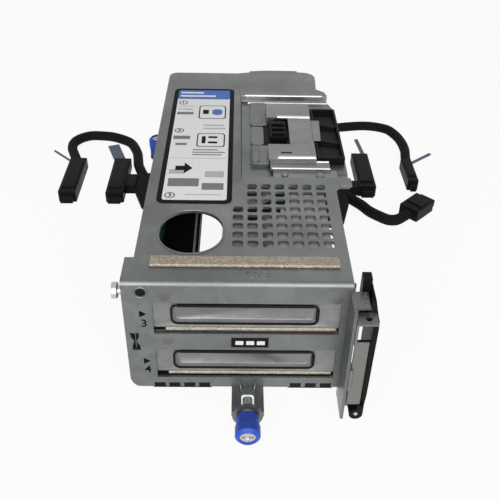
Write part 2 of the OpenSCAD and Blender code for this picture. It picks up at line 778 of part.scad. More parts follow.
// Flat bundle that leaves the header under the board and passes the left wall
module left_cable_boot() {
    in_frame() color([0.08, 0.08, 0.08]) plan([[boot_x, header_y0 + 6], [-46.5, header_y0 + 6],
        [left_boot_x, 131], [left_boot_x, left_boot_y1], [boot_x, left_boot_y1]], 0, boot_h);
}

// Flat bundle that leaves the header and passes under the tray to the right
module right_cable_boot() {
    in_frame() color([0.08, 0.08, 0.08]) plan([[boot_x, header_y1 - 40], [26, header_y1 - 40],
        [38, 103], [49.8, 106], [right_boot_x, 122], [right_boot_x, header_y1], [boot_x, header_y1]], 0, boot_h);
}

// Rings along a route: each section stands square to the line between its neighbours
function turn(r, i) = let (a = r[max(i - 1, 0)], b = r[min(i + 1, len(r) - 1)])
    atan2(b[1] - a[1], b[0] - a[0]);
function ring(p, a, n) = [for (k = [0 : n - 1]) let (t = 360*(k + 0.5)/n, s = 1/cos(180/n))
    [p[0] - sin(a)*cable_w/2*cos(t)*s, p[1] + cos(a)*cable_w/2*cos(t)*s,
     cable_t/2 + cable_t/2*sin(t)*s]];
module cable(route) {
    n = 8;
    m = len(route);
    pts = [for (i = [0 : m - 1]) each ring(route[i], turn(route, i), n)];
    skins = [for (i = [0 : m - 2], k = [0 : n - 1])
        [i*n + k, i*n + (k + 1)%n, (i + 1)*n + (k + 1)%n, (i + 1)*n + k]];
    in_frame() color([0.08, 0.08, 0.08]) polyhedron(pts, concat([[for (k = [0 : n - 1]) n - 1 - k]],
        skins, [[for (k = [0 : n - 1]) (m - 1)*n + k]]));
}

// Moulded plug lying on the surface, mating end forward, at its rear middle (x, y)
module plug(at, a = 0, l = plug_l, w = plug_w) {
    in_frame() color([0.1, 0.1, 0.1]) translate(at) rotate([0, 0, a]) union() {
        block([-w/2, -l, 0], [w/2, 0, plug_h]);
        block([-w/2 + nose_in, -l - nose_l, 1], [w/2 - nose_in, -l + eps, plug_h - 1.4]);
        block([-w/2 + 1, -l + ridge_in, plug_h - eps], [w/2 - 1, -ridge_in, plug_h + ridge_t]);
    }
}

module left_far_plug() { plug(left_far_at); }
module left_near_plug() {
    union() {
        plug(left_near_at);
        in_frame() color([0.1, 0.1, 0.1])
            block([left_near_at[0] + plug_w/2 - eps, left_boot_y1 - 13, 0],
                [left_boot_x, left_boot_y1 - 2, boot_h]);
    }
}
module right_far_plug() { plug(right_far_at, 0, 22, 5.4); }
module right_near_plug() {
    union() {
        plug(right_near_at);
        in_frame() color([0.1, 0.1, 0.1]) block([right_boot_x, header_y1 - 3.5, 0],
            [right_near_at[0] - plug_w/2 + eps, header_y1 + 3, boot_h]);
    }
}
module right_low_plug() { plug(right_low_at, 135, 14, 10.4); }

// Blue pull tab standing off a plug's rear end, dx and dy from the plug's place
module pull_tab(at, dx, dy, a, l, w) {
    in_frame() color("steelblue") translate([at[0] + dx, at[1] + dy, tab_z]) rotate([0, 0, a])
        block([-w/2, 0, 0], [w/2, l, tab_t]);
}
module left_far_tab() { pull_tab(left_far_at, -4.2, -1, 45, 15, 1); }
module left_near_tab() { pull_tab(left_near_at, -1.2, -1, 20, 18, 6); }
module right_far_tab() { pull_tab(right_far_at, 1.8, -3, -50, 17, 1.6); }
module right_near_tab() { pull_tab(right_near_at, 2.6, -1, 6, 19, 2); }

cage_shell();
slot_filler(0);  // slot_filler_upper
slot_filler(1);  // slot_filler_lower
slot_gasket(0);  // slot_gasket_upper
slot_gasket(1);  // slot_gasket_lower
top_gasket();
instruction_label();
slot_badge();
touch_strip();
riser_board();
vent_shield();
card_connector(0);  // card_connector_upper
card_connector(1);  // card_connector_lower
board_standoffs();
board_screws();
cable_header();
front_collar();
front_screw();
front_knob();
side_collar();
side_screw();
side_knob();
shoulder_screw();
latch_lever();
latch_strip();
latch_pin();
retainer_frame();
retainer_rivets();
retainer_block();
retainer_slider();
left_cable_boot();
right_cable_boot();
cable(left_route);  // left_cable
cable(rear_route);  // rear_cable
cable(right_route);  // right_cable
left_far_plug();
left_near_plug();
right_far_plug();
right_near_plug();
right_low_plug();
left_far_tab();
left_near_tab();
right_far_tab();
right_near_tab();
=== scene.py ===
import math

import bmesh
import bpy
from mathutils import Matrix, Vector


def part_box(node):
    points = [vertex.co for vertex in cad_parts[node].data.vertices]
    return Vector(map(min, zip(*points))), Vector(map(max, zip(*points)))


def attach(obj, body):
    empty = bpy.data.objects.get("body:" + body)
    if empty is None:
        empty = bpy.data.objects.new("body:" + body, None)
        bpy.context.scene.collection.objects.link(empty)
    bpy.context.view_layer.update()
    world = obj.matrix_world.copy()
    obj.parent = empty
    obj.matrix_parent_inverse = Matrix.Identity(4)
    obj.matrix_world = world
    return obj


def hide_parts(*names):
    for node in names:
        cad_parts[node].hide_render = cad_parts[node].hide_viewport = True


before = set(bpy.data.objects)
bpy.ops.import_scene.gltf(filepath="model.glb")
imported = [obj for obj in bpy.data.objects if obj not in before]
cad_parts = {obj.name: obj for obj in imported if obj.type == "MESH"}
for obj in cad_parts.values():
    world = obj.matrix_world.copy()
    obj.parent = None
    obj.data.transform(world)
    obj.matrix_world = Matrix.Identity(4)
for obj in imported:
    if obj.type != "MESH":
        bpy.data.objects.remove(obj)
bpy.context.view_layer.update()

# ---- Camera, floor and lamps ------------------------------------------------
# The cage stands on a white table. A broad lamp stands before it, a low one lights
# its front plate, and a weak one behind it draws out the folds of the sheet.

front_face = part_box("slot_badge")[1][1]     # outer face of the front plate


def at(x, y, z):
    """A place in millimetres: right of the middle, behind the front plate, above the table."""
    return Vector((x / 1000, front_face + y / 1000, z / 1000))


lens_yaw, lens_pitch, lens_roll = -0.02196, 0.65094, 0.02306
across = Vector((math.cos(lens_yaw), math.sin(lens_yaw), 0))
ahead = Vector((-math.sin(lens_yaw), math.cos(lens_yaw), 0))
view_line = ahead * math.cos(lens_pitch) - Vector((0, 0, math.sin(lens_pitch)))
upright = ahead * math.sin(lens_pitch) + Vector((0, 0, math.cos(lens_pitch)))
cam_right = across * math.cos(lens_roll) + upright * math.sin(lens_roll)
cam_up = upright * math.cos(lens_roll) - across * math.sin(lens_roll)
camera = bpy.data.objects.new("camera", bpy.data.cameras.new("camera"))
camera.data.sensor_width = 36
camera.data.lens = 51.089
camera.data.clip_start = 0.01
camera.matrix_world = Matrix.Translation(at(0, -166.17, 193.417)) @ Matrix(
    (cam_right, cam_up, -view_line)).transposed().to_4x4()
bpy.context.scene.collection.objects.link(camera)
bpy.context.scene.camera = camera
bpy.context.scene.view_settings.view_transform = "Standard"


def nodes_of(name):
    """A new material, its node tree and its surface shader."""
    mat = bpy.data.materials.new(name)
    mat.use_nodes = True
    return mat, mat.node_tree, mat.node_tree.nodes["Principled BSDF"]


def lens_rays(tree):
    """1 for camera, glossy and transmitted rays, which see plain white, and 0 for every other ray."""
    path = tree.nodes.new("ShaderNodeLightPath")
    seen = tree.nodes.new("ShaderNodeMath")
    seen.operation = "MAXIMUM"
    also = tree.nodes.new("ShaderNodeMath")
    also.operation = "MAXIMUM"
    tree.links.new(path.outputs["Is Camera Ray"], seen.inputs[0])
    tree.links.new(path.outputs["Is Glossy Ray"], seen.inputs[1])
    tree.links.new(seen.outputs[0], also.inputs[0])
    tree.links.new(path.outputs["Is Transmission Ray"], also.inputs[1])
    return also.outputs[0]


floor_mat, tree, surface = nodes_of("white_table")
surface.inputs["Base Color"].default_value = (0.85, 0.85, 0.85, 1)
surface.inputs["Roughness"].default_value = 0.9
surface.inputs["Specular IOR Level"].default_value = 0.1
glow = tree.nodes.new("ShaderNodeEmission")
glow.inputs["Strength"].default_value = 1.0
mix = tree.nodes.new("ShaderNodeMixShader")
share = tree.nodes.new("ShaderNodeMath")
share.operation = "MULTIPLY"
share.inputs[1].default_value = 0.92
tree.links.new(lens_rays(tree), share.inputs[0])
tree.links.new(share.outputs[0], mix.inputs[0])
tree.links.new(surface.outputs[0], mix.inputs[1])
tree.links.new(glow.outputs[0], mix.inputs[2])
tree.links.new(mix.outputs[0], tree.nodes["Material Output"].inputs["Surface"])
bm = bmesh.new()
bmesh.ops.create_grid(bm, x_segments=1, y_segments=1, size=6)
bmesh.ops.translate(bm, vec=(0, 0, -0.00005), verts=bm.verts)
floor = bpy.data.objects.new("table_top", bpy.data.meshes.new("table_top"))
bm.to_mesh(floor.data)
bm.free()
floor.data.materials.append(floor_mat)
bpy.context.scene.collection.objects.link(floor)

world = bpy.data.worlds.new("studio")
bpy.context.scene.world = world
world.use_nodes = True
tree = world.node_tree
room = tree.nodes["Background"]
room.inputs["Color"].default_value = (0.95, 0.97, 1.0, 1)
room.inputs["Strength"].default_value = 0.34
backdrop = tree.nodes.new("ShaderNodeBackground")
backdrop.inputs["Strength"].default_value = 1.0
mix = tree.nodes.new("ShaderNodeMixShader")
tree.links.new(lens_rays(tree), mix.inputs[0])
tree.links.new(room.outputs[0], mix.inputs[1])
tree.links.new(backdrop.outputs[0], mix.inputs[2])
tree.links.new(mix.outputs[0], tree.nodes["World Output"].inputs["Surface"])


def lamp(name, place, target, width, height, watts):
    light = bpy.data.lights.new(name, "AREA")
    light.shape = "RECTANGLE"
    light.size, light.size_y, light.energy = width, height, watts
    obj = bpy.data.objects.new(name, light)
    turned = (place - target).to_track_quat("Z", "Y").to_matrix().to_4x4()
    obj.matrix_world = Matrix.Translation(place) @ turned
    bpy.context.scene.collection.objects.link(obj)


lamp("key_lamp", at(-40, -520, 420), at(0, 20, 30), 0.9, 0.5, 3.6)
lamp("front_lamp", at(0, -560, 110), at(0, 0, 30), 0.6, 0.16, 1.9)
lamp("rear_lamp", at(180, 620, 520), at(0, 80, 30), 0.5, 0.3, 0.25)


# ---- Cage shell -------------------------------------------------------------
# One blank of galvanised sheet, 1 mm thick, punched and folded: front plate, top
# plate with its sunk tray, left wall, rear legs and the tabs for the screws.

def scaled(tree, factor):
    """Object coordinates times a factor, one number or three."""
    coords = tree.nodes.new("ShaderNodeTexCoord")
    mapping = tree.nodes.new("ShaderNodeMapping")
    mapping.inputs["Scale"].default_value = factor if hasattr(factor, "__len__") else (factor,) * 3
    tree.links.new(coords.outputs["Object"], mapping.inputs["Vector"])
    return mapping.outputs["Vector"]


def noise_of(tree, factor, detail=3.0, rough=0.55):
    """Cloudy noise, its grain set by the factor."""
    tex = tree.nodes.new("ShaderNodeTexNoise")
    tex.inputs["Scale"].default_value = 1
    tex.inputs["Detail"].default_value = detail
    tex.inputs["Roughness"].default_value = rough
    tree.links.new(scaled(tree, factor), tex.inputs["Vector"])
    return tex.outputs["Fac"]


def cells_of(tree, factor):
    """A random grey for each crystal of the coating."""
    tex = tree.nodes.new("ShaderNodeTexVoronoi")
    tex.inputs["Scale"].default_value = 1
    tree.links.new(scaled(tree, factor), tex.inputs["Vector"])
    split = tree.nodes.new("ShaderNodeSeparateColor")
    tree.links.new(tex.outputs["Color"], split.inputs[0])
    return split.outputs[0]


def ramp(tree, value, low, high, start=0.3, end=0.7):
    """Value runs from low to high while it goes from start to end."""
    node = tree.nodes.new("ShaderNodeMapRange")
    for name, number in (("From Min", start), ("From Max", end), ("To Min", low), ("To Max", high)):
        node.inputs[name].default_value = number
    tree.links.new(value, node.inputs["Value"])
    return node.outputs["Result"]


def product(tree, *values):
    """All the values multiplied together."""
    out = values[0]
    for value in values[1:]:
        node = tree.nodes.new("ShaderNodeMath")
        node.operation = "MULTIPLY"
        tree.links.new(out, node.inputs[0])
        tree.links.new(value, node.inputs[1])
        out = node.outputs[0]
    return out


def tinted(tree, surface, dark, light, value):
    """The surface's colour runs from dark to light with value."""
    node = tree.nodes.new("ShaderNodeMix")
    node.data_type = "RGBA"
    node.inputs["A"].default_value = (*dark, 1)
    node.inputs["B"].default_value = (*light, 1)
    tree.links.new(value, node.inputs["Factor"])
    tree.links.new(node.outputs["Result"], surface.inputs["Base Color"])


def bumped(tree, surface, value, depth, strength=1.0):
    """The surface rises and falls with value, by depth metres."""
    node = tree.nodes.new("ShaderNodeBump")
    node.inputs["Distance"].default_value = depth
    node.inputs["Strength"].default_value = strength
    tree.links.new(value, node.inputs["Height"])
    tree.links.new(node.outputs["Normal"], surface.inputs["Normal"])


def coated_sheet(name, dark, light, rough=0.40, metal=0.85, crystal=240):
    """Galvanised sheet: crystals of slightly different grey, cloudy stains and fine rolling lines."""
    mat, tree, surface = nodes_of(name)
    surface.inputs["Metallic"].default_value = metal
    crystals = cells_of(tree, crystal)
    clouds = noise_of(tree, 38, 4)
    lines = noise_of(tree, (2600, 90, 2600), 2)
    mix = product(tree, ramp(tree, crystals, 0.72, 1.0, 0, 1), ramp(tree, clouds, 0.45, 1.0),
                  ramp(tree, lines, 0.8, 1.0))
    tinted(tree, surface, dark, light, mix)
    tree.links.new(product(tree, ramp(tree, clouds, rough * 1.2, rough * 0.85),
                           ramp(tree, crystals, 0.88, 1.1, 0, 1)), surface.inputs["Roughness"])
    bumped(tree, surface, noise_of(tree, 1500, 3), 0.00002, 0.6)
    return mat


galvanised = coated_sheet("galvanised_sheet", (0.105, 0.111, 0.111), (0.225, 0.234, 0.233))


def put(obj, mat, body, stands_for):
    """Gives a piece its material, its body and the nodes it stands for."""
    obj.data.materials.append(mat)
    bpy.context.scene.collection.objects.link(obj)
    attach(obj, body)
    if stands_for:
        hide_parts(*stands_for)
    return obj


def piece(bm, name, mat, body="cage", stands_for=(), edge=0.00015, rounds=2, turn=34):
    """A finished piece from a bmesh: merged, faces outwards, its edges broken."""
    bmesh.ops.remove_doubles(bm, verts=bm.verts, dist=1e-6)
    bmesh.ops.recalc_face_normals(bm, faces=bm.faces)
    mesh = bpy.data.meshes.new(name)
    bm.to_mesh(mesh)
    bm.free()
    mesh.shade_smooth()
    mesh.set_sharp_from_angle(angle=math.radians(turn))
    obj = bpy.data.objects.new(name, mesh)
    put(obj, mat, body, stands_for)
    if edge:
        broken = obj.modifiers.new("broken_edges", "BEVEL")
        broken.width, broken.segments = edge, rounds
        broken.limit_method, broken.angle_limit = "ANGLE", math.radians(turn)
        broken.harden_normals = True
    return obj


def solid_of(node):
    """The node's solid as a bmesh, its loose triangles merged into whole faces."""
    bm = bmesh.new()
    bm.from_mesh(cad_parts[node].data)
    bmesh.ops.remove_doubles(bm, verts=bm.verts, dist=1e-6)
    bmesh.ops.dissolve_limit(bm, angle_limit=math.radians(0.5), verts=bm.verts, edges=bm.edges)
    return bm


def slab(bm, low, high, corner=0.0, rounds=3):
    """A rectangular bar between two places, its upright corners rounded."""
    low, high = at(*low), at(*high)
    made = bmesh.ops.create_cube(bm, size=1)["verts"]
    bmesh.ops.scale(bm, vec=high - low, verts=made)
    bmesh.ops.translate(bm, vec=(low + high) / 2, verts=made)
    if corner:
        edges = {e for v in made for e in v.link_edges
                 if abs(e.verts[0].co.z - e.verts[1].co.z) > 1e-6}
        made = bmesh.ops.bevel(bm, geom=list(edges), offset=corner / 1000, segments=rounds,
                               affect="EDGES", profile=0.5, material=-1)["verts"]
    return made


def prism(bm, outline, vector):
    """A flat outline of places, drawn out along a vector in millimetres."""
    face = bm.faces.new([bm.verts.new(at(*p)) for p in outline])
    drawn = bmesh.ops.extrude_face_region(bm, geom=[face])["geom"]
    moved = [g for g in drawn if isinstance(g, bmesh.types.BMVert)]
    bmesh.ops.translate(bm, vec=Vector(vector) / 1000, verts=moved)
    return moved


def rod(bm, start, end, radius, far_radius=None, sides=32):
    """A round bar between two places."""
    start, end = at(*start), at(*end)
    line = end - start
    place = Matrix.Translation((start + end) / 2) @ line.to_track_quat("Z", "Y").to_matrix().to_4x4()
    return bmesh.ops.create_cone(bm, cap_ends=True, segments=sides, radius1=radius / 1000,
                                 radius2=(radius if far_radius is None else far_radius) / 1000,
                                 depth=line.length, matrix=place)["verts"]


def bead(name, points, radius, mat, body="cage", closed=False, rounds=3):
    """A rolled ridge or hem along a line of places."""
    curve = bpy.data.curves.new(name, "CURVE")
    curve.dimensions = "3D"
    curve.bevel_depth, curve.bevel_resolution = radius / 1000, rounds
    curve.use_fill_caps = not closed
    line = curve.splines.new("POLY")
    line.points.add(len(points) - 1)
    for spot, p in zip(line.points, points):
        spot.co = (*at(*p), 1)
    line.use_cyclic_u = closed
    holder = bpy.data.objects.new(name + "_line", curve)
    mesh = bpy.data.meshes.new_from_object(holder)
    bpy.data.objects.remove(holder)
    mesh.name = name
    mesh.shade_smooth()
    obj = bpy.data.objects.new(name, mesh)
    return put(obj, mat, body, ())


bm = solid_of("cage_shell")
tray_corner, plate_top = at(1, 133, 50.8), at(0, 0, 54).z
near = 1e-5


def tray_folds(axis):
    """Level edges of the tray's wall that stands square to the axis: 0 its left one, 1 its rear one."""
    return [e for e in bm.edges if abs(e.verts[0].co.z - e.verts[1].co.z) < near
            and all(abs(v.co[axis] - tray_corner[axis]) < near for v in e.verts)
            and min(abs(e.verts[0].co.z - z) for z in (plate_top, tray_corner.z)) < near]


folds = tray_folds(1) + tray_folds(0)
bmesh.ops.bevel(bm, geom=folds, offset=0.0006, segments=4, affect="EDGES", profile=0.5, material=-1)
piece(bm, "cage_sheet", galvanised, stands_for=["cage_shell"], edge=0.00012)

# Coined rim of the finger hole, proud of the top plate by a few tenths.
rim = []
for k in range(48):
    turn = 2 * math.pi * k / 48
    rim.append((-15.65 + 10.95 * math.cos(turn),
                27 + math.copysign(1.6, math.sin(turn)) + 10.95 * math.sin(turn), 53.95))
bead("finger_hole_rim", rim, 0.42, galvanised, closed=True)

# Threaded boss in the upper left corner: its extruded rim stands round the hole.


def loop_line(x, y, radius, deep=None, count=16):
    """Points round a circle, or an ellipse that is deep along its second side."""
    turns = [2 * math.pi * k / count for k in range(count)]
    return [(x + radius * math.cos(t), y + (deep or radius) * math.sin(t)) for t in turns]


rim = [(x, 0.02, z) for x, z in loop_line(-29.9, 49.9, 2.05, count=32)]
bead("corner_boss_rim", rim, 0.3, galvanised, closed=True)

# Lanced strips on the left of the tray, that hook a card's far end.
bm = bmesh.new()
for low, high in (((5, 74.6, 50.7), (12.6, 89.4, 52.4)), ((5.2, 91, 50.7), (10.4, 106.6, 51.9)),
                  ((5, 108.4, 50.7), (12.2, 130, 51.7)), ((5.4, 76, 52.3), (8.2, 88, 52.8))):
    slab(bm, low, high, 0.9)
piece(bm, "tray_hooks", galvanised, edge=0.0004, rounds=3)

# Stiffening gusset pressed across the front tab's fold.
for side in (-1, 1):
    bead("tab_gusset_%s" % ("left" if side < 0 else "right"),
         [(3.9 + side * 3.1, -0.05, 11.2), (3.9 + side * 2.6, -0.15, 9.6), (3.9 + side * 2.4, -0.6, 7.9),
          (3.9 + side * 2.1, -1.9, 7.4), (3.9 + side * 1.2, -2.5, 7.3)], 0.35, galvanised)

# Near-black sheets behind the row of small vents and the key slot, and discs in two round holes: painted
# shade for the dark inside of the cage.
painted_shade_sheet = coated_sheet("painted_inner_shade", (0.003, 0.003, 0.003), (0.012, 0.012, 0.012), rough=0.7, metal=0)
painted_shade_sheet.node_tree.nodes["Principled BSDF"].inputs["Specular IOR Level"].default_value = 0.08
bm = bmesh.new()
for x0, x1 in ((-28.6, -8.4), (17.8, 33.2)):
    slab(bm, (x0, 0.5, 6.55), (x1, 1.0, 9.7))
slab(bm, (-35.2, 1.2, 24.2), (-31, 1.6, 33.6))
rod(bm, (-29.9, 0.6, 49.9), (-29.9, 1.4, 49.9), 1.65)
rod(bm, (39.6, -10.1, 48.1), (39.6, -10.1, 48.6), 0.98)
piece(bm, "painted_shade_backing", painted_shade_sheet, edge=0)
bead("key_slot_wire", [(-33, 1.0, 25.4), (-33, 1.0, 32.4)], 0.22, galvanised)

# Stamped marks on the lip: a triangle and a ring.
bead("lip_triangle", [(2.6, 5.4, 54), (6, 5.4, 54), (4.3, 2.6, 54)], 0.16, galvanised,
     closed=True)
bead("lip_ring", [(x, y, 54) for x, y in loop_line(8.4, 4.1, 1.6, count=20)], 0.16, galvanised,
     closed=True)

# Faint discs where the brackets behind are spot-welded to the plate.
weld_grey = coated_sheet("weld_mark", (0.09, 0.085, 0.08), (0.185, 0.18, 0.17), rough=0.5)
bm = bmesh.new()
for x, z in ((-22.5, 48.4), (-22.4, 29.2), (31.4, 47.6)):
    rod(bm, (x, 0.02, z), (x, -0.03, z), 1.9, 1.7)
piece(bm, "weld_marks", weld_grey, edge=0)

# Slot marks: a black triangle and a number beside each slot, printed on the plate.
ink, tree, surface = nodes_of("black_ink")
tinted(tree, surface, (0.002, 0.002, 0.002), (0.006, 0.006, 0.006), noise_of(tree, 900))
surface.inputs["Roughness"].default_value = 0.8
surface.inputs["Specular IOR Level"].default_value = 0.05


def printed_number(text, name, height, place, turn, mat, tilt=math.pi / 2):
    """A number as a thin film of ink: tilt stands it on the front plate, turn spins it there."""
    curve = bpy.data.curves.new(name, "FONT")
    curve.body = text
    curve.size, curve.extrude, curve.offset = height / 1000 * 1.4, 0.00003, 0.00004
    curve.align_x, curve.align_y = "CENTER", "CENTER"
    holder = bpy.data.objects.new(name + "_type", curve)
    mesh = bpy.data.meshes.new_from_object(holder)
    bpy.data.objects.remove(holder)
    mesh.name = name
    mesh.transform(Matrix.Translation(at(*place)) @ Matrix.Rotation(tilt, 4, "X")
                   @ Matrix.Rotation(turn, 4, "Z"))
    return put(bpy.data.objects.new(name, mesh), mat, "cage", ())


bm = bmesh.new()
for z_high, z_low in ((42.4, 39.6), (21.3, 18.5)):
    tip = (-28.6, -0.04, (z_high + z_low) / 2)
    prism(bm, [(-30.9, -0.04, z_high), (-30.9, -0.04, z_low), tip], (0, 0.05, 0))
piece(bm, "slot_triangles", ink, edge=0)
printed_number("3", "slot_number_upper", 3.1, (-29.6, -0.04, 36.9), 0, ink)
printed_number("4", "slot_number_lower", 3.1, (-29.7, -0.04, 15.9), 0, ink)


# ---- Slot covers ------------------------------------------------------------
# Two plated sheet covers, one behind each window, each with a pressed panel and a
# tab bent forward over the right flange.

plated = coated_sheet("plated_steel", (0.13, 0.135, 0.132), (0.275, 0.285, 0.28), rough=0.36, crystal=420)
# Near-black material for painted shade in the gaps under the covers and along the pressed panels' sunk edges.
painted_panel_shade = coated_sheet("painted_panel_shade", (0.004, 0.004, 0.004), (0.014, 0.014, 0.013), rough=0.7, metal=0)
painted_panel_shade.node_tree.nodes["Principled BSDF"].inputs["Specular IOR Level"].default_value = 0.08
# Darker grey for the pressed panel's sloped faces: painted shade, as these faces turn away from the light.
painted_slope_shade = coated_sheet("painted_slope_shade", (0.07, 0.07, 0.068), (0.17, 0.175, 0.17), rough=0.75, metal=0.1)
painted_slope_shade.node_tree.nodes["Principled BSDF"].inputs["Specular IOR Level"].default_value = 0.1
for row in ("upper", "lower"):
    bm = solid_of("slot_filler_" + row)
    bm.normal_update()
    # The sloped faces of the pressed panel take the second material, the painted slope shade.
    front_skin = at(0, 2.6, 0).y
    for face in bm.faces:
        centre = face.calc_center_median()
        if -0.97 < face.normal.y < 0.5 and centre.y < front_skin and abs(centre.x - 0.0025) < 0.0245:
            face.material_index = 1
    cover = piece(bm, "slot_cover_" + row, plated, stands_for=["slot_filler_" + row], edge=0)
    cover.data.materials.append(painted_slope_shade)
    low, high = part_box("slot_filler_" + row)
    sill = low[2] * 1000 - 2.05
    # A near-black bar behind the gap under each cover, and on the cover a ring round the pressed panel and
    # two bands: painted shade where the gap and the panel's sunk edges lie in shadow.
    bm = bmesh.new()
    slab(bm, (-27.2, 1.02, sill - 0.4), (33.4, 6.5, sill))
    piece(bm, "window_gap_shade_" + row, painted_panel_shade, edge=0)
    shade_ring_r = 2.1
    outline = []
    for x, z, start in ((23.9, 5.6, -90), (23.9, 9.2, 0), (-18.8, 9.2, 90), (-18.8, 5.6, 180)):
        for k in range(6):
            turn = math.radians(start + k * 18)
            outline.append((x + shade_ring_r * math.cos(turn), 1.3, z + sill + shade_ring_r * math.sin(turn)))
    bead("panel_ring_shade_" + row, outline, 0.36, painted_panel_shade, closed=True)
    bead("panel_shade_" + row, [(-19, 1.35, sill + 11.2), (24.4, 1.35, sill + 11.2)], 0.62, painted_panel_shade)
    bead("panel_side_shade_" + row, [(25.7, 1.35, sill + 5.4), (25.7, 1.35, sill + 9.6)], 0.5, painted_panel_shade)

# ---- Gaskets ----------------------------------------------------------------
# Strips of foam in a metallised woven cover, glued on; the threads sparkle.

foam_cloth, tree, surface = nodes_of("metallised_cloth")
threads = noise_of(tree, (3200, 3200, 3200), 2)
glints = cells_of(tree, 1500)
tinted(tree, surface, (0.13, 0.10, 0.075), (0.68, 0.60, 0.49), product(
    tree, ramp(tree, threads, 0.2, 1.0), ramp(tree, glints, 0.45, 1.0, 0.2, 1)))
surface.inputs["Metallic"].default_value = 0.35
tree.links.new(ramp(tree, glints, 0.25, 0.75, 0, 1), surface.inputs["Roughness"])
bumped(tree, surface, threads, 0.00008)
for node, name in (("top_gasket", "lip_gasket"), ("slot_gasket_upper", "cover_gasket_upper"),
                   ("slot_gasket_lower", "cover_gasket_lower")):
    bm = solid_of(node)
    piece(bm, name, foam_cloth, stands_for=[node], edge=0.0004, rounds=4)

# ---- Vent shield ------------------------------------------------------------
# Bright sheet spot-welded under the vents, stepped down on its left side.

bright_sheet = coated_sheet("bright_sheet", (0.24, 0.235, 0.22), (0.42, 0.41, 0.385), rough=0.5, metal=0.6)
piece(solid_of("vent_shield"), "vent_shield_sheet", bright_sheet,
      stands_for=["vent_shield"], edge=0.0001)


# ---- Instruction label ------------------------------------------------------
# Printed film stuck on the top plate: black border, blue head and three plain
# pictures of the steps, each with its number. The inks lie in thin layers.

def ink_of(name, dark, light, rough=0.45):
    """Printing ink with the faint cloudiness of a printed film."""
    mat, tree, surface = nodes_of(name)
    tinted(tree, surface, dark, light, noise_of(tree, 700, 3))
    surface.inputs["Roughness"].default_value = rough
    surface.inputs["Specular IOR Level"].default_value = 0.08
    bumped(tree, surface, noise_of(tree, 260, 2), 0.00001)
    return mat


label_white = ink_of("label_white", (0.90, 0.90, 0.89), (0.97, 0.97, 0.96), 0.4)
label_black = ink_of("label_black", (0.003, 0.003, 0.0032), (0.008, 0.008, 0.0085), 0.6)
label_blue = ink_of("label_blue", (0.085, 0.19, 0.58), (0.115, 0.235, 0.64))
label_grey = ink_of("label_grey", (0.20, 0.20, 0.195), (0.27, 0.27, 0.265))
label_pale = ink_of("label_pale", (0.50, 0.50, 0.49), (0.58, 0.58, 0.57))
film_top = 54.2
layer_t = 0.02

bm = bmesh.new()
slab(bm, (-29.2, 43.7, 54), (-2.2, 138.7, film_top), 2.6, rounds=5)
piece(bm, "label_film", label_black, stands_for=["instruction_label"], edge=0.00005)


def patches(name, mat, layer, bars, corner=0.0):
    """Patches of ink in one layer, each x0, y0, x1, y1 on the label."""
    bm = bmesh.new()
    for x0, y0, x1, y1 in bars:
        slab(bm, (x0, y0, film_top + (layer - 1) * layer_t), (x1, y1, film_top + layer * layer_t),
             min(corner, (x1 - x0) * 0.45, (y1 - y0) * 0.45))
    piece(bm, name, mat, edge=0)


border = 1.9
x_low, y_low, x_high, y_high = -29.2 + border, 43.7 + border, -2.2 - border, 138.7 - border
patches("label_field", label_white, 1, [(x_low, y_low, x_high, y_high)], 1.1)
patches("label_head", label_blue, 2, [(x_low, 127.6, x_high, y_high)], 0.9)
patches("label_head_lines", label_white, 3, [(-26.3, 133.4, -16, 134.9), (-26.3, 130, -10.5, 131.6)], 0.3)
patches("picture_frames", label_black, 2, [(-17.3, 108.6, -5.6, 121.2), (-17, 84.2, -5.6, 95.6)], 1.4)
patches("picture_fields", label_white, 3, [(-16.8, 109.1, -6.1, 120.7), (-16.5, 84.7, -6.1, 95.1)], 1.2)
patches("picture_buttons", label_blue, 4, [(-11.5, 112.2, -7.2, 117.6)], 1.6)
patches("picture_marks", label_black, 4, [(-15.6, 113, -13, 117), (-15, 87, -13.4, 93),
                                          (-12.4, 87, -8.6, 88.6), (-12.4, 91.4, -8.6, 93)], 0.5)
patches("picture_cards", label_grey, 2, [(-26.6, 112.4, -19.6, 114.8), (-26.6, 90.4, -19.8, 93.2),
                                         (-25.4, 85.4, -20.8, 87.2), (-26, 54.6, -14.6, 60.2),
                                         (-13.4, 52.4, -5.4, 57)], 0.3)
patches("picture_lines", label_pale, 2, [(-26.4, 117, -20, 118), (-26.4, 120.2, -19, 120.8),
                                         (-14.8, 99.2, -5.6, 100.4), (-14.8, 102, -6.4, 103.2),
                                         (-26.4, 74.9, -5, 75.3), (-19.2, 48.8, -6, 49.4),
                                         (-12.6, 61, -5.4, 65.4), (-26.2, 63.4, -20.4, 66.6)], 0.2)
patches("word_lines", label_grey, 2, [(-18.2, 79.4, -5.4, 80.2), (-18.2, 77.5, -6.6, 78.3),
                                      (-18.2, 81.4, -8.2, 82.2)], 0.2)
bm = bmesh.new()
prism(bm, [(-24, 66, film_top), (-20.6, 66, film_top), (-20.6, 63.6, film_top), (-17.4, 67.6, film_top),
           (-20.6, 71.6, film_top), (-20.6, 69.2, film_top), (-24, 69.2, film_top)], (0, 0, 3 * layer_t))
piece(bm, "picture_arrow", label_black, edge=0)
for step, y in ((1, 124), (2, 97.8), (3, 48.6)):
    bm = bmesh.new()
    rod(bm, (-24.6, y, film_top), (-24.6, y, film_top + 2 * layer_t), 1.9)
    piece(bm, "step_disc_%d" % step, label_black, edge=0)
    bm = bmesh.new()
    rod(bm, (-24.6, y, film_top), (-24.6, y, film_top + 3 * layer_t), 1.5)
    piece(bm, "step_field_%d" % step, label_white, edge=0)
    printed_number(str(step), "step_number_%d" % step, 2.2, (-24.6, y, film_top + 4 * layer_t), 0,
                   label_black, tilt=0)

# ---- Slot badge -------------------------------------------------------------
# Black printed plate on the divider between the slots, with three light bars.

